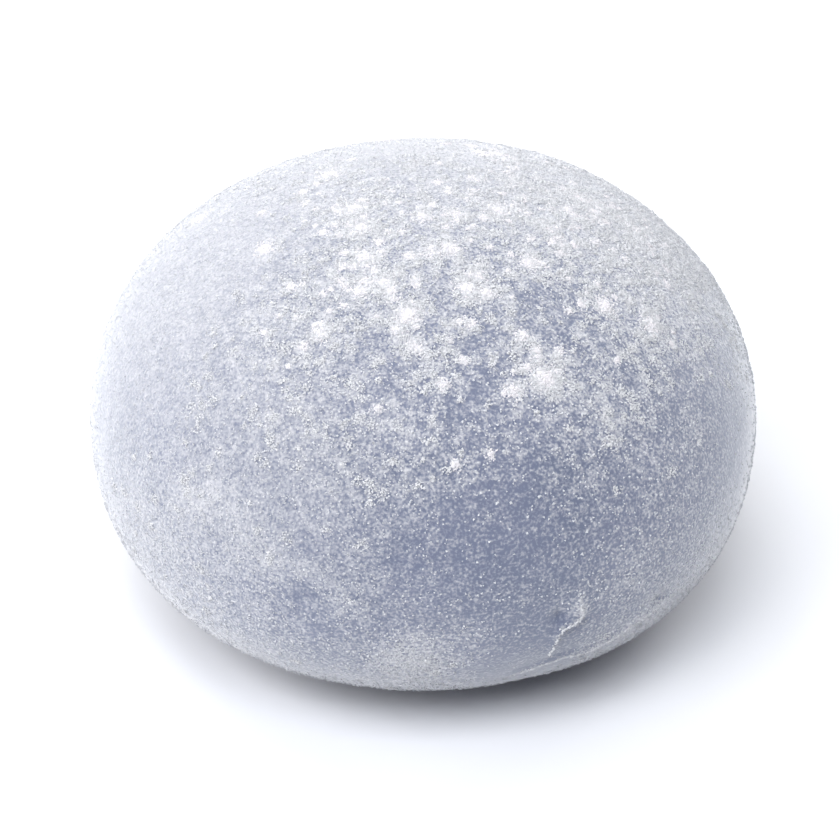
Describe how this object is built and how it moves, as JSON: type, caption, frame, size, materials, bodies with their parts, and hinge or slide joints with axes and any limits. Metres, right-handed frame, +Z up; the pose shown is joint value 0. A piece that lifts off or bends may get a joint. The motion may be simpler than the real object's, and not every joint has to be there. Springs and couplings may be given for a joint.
{
  "type": "mochi rice cake",
  "caption": "Plump, shut mochi rice cake: a soft low dome of rice dough, widest below its middle, flat where it stands, dusted with starch.",
  "frame": {"origin": "middle of the cake's plan, on the table that its flat foot stands on", "axes": "+Z up through the crown, -Y out of the front, +X to the right as seen from the front"},
  "size_m": [0.05, 0.0496, 0.0328],
  "materials": {
    "dough": "matte",
    "starch": "matte"
  },
  "bodies": {
    "root": {"mochi": "dough"}
  },
  "joints": []
}
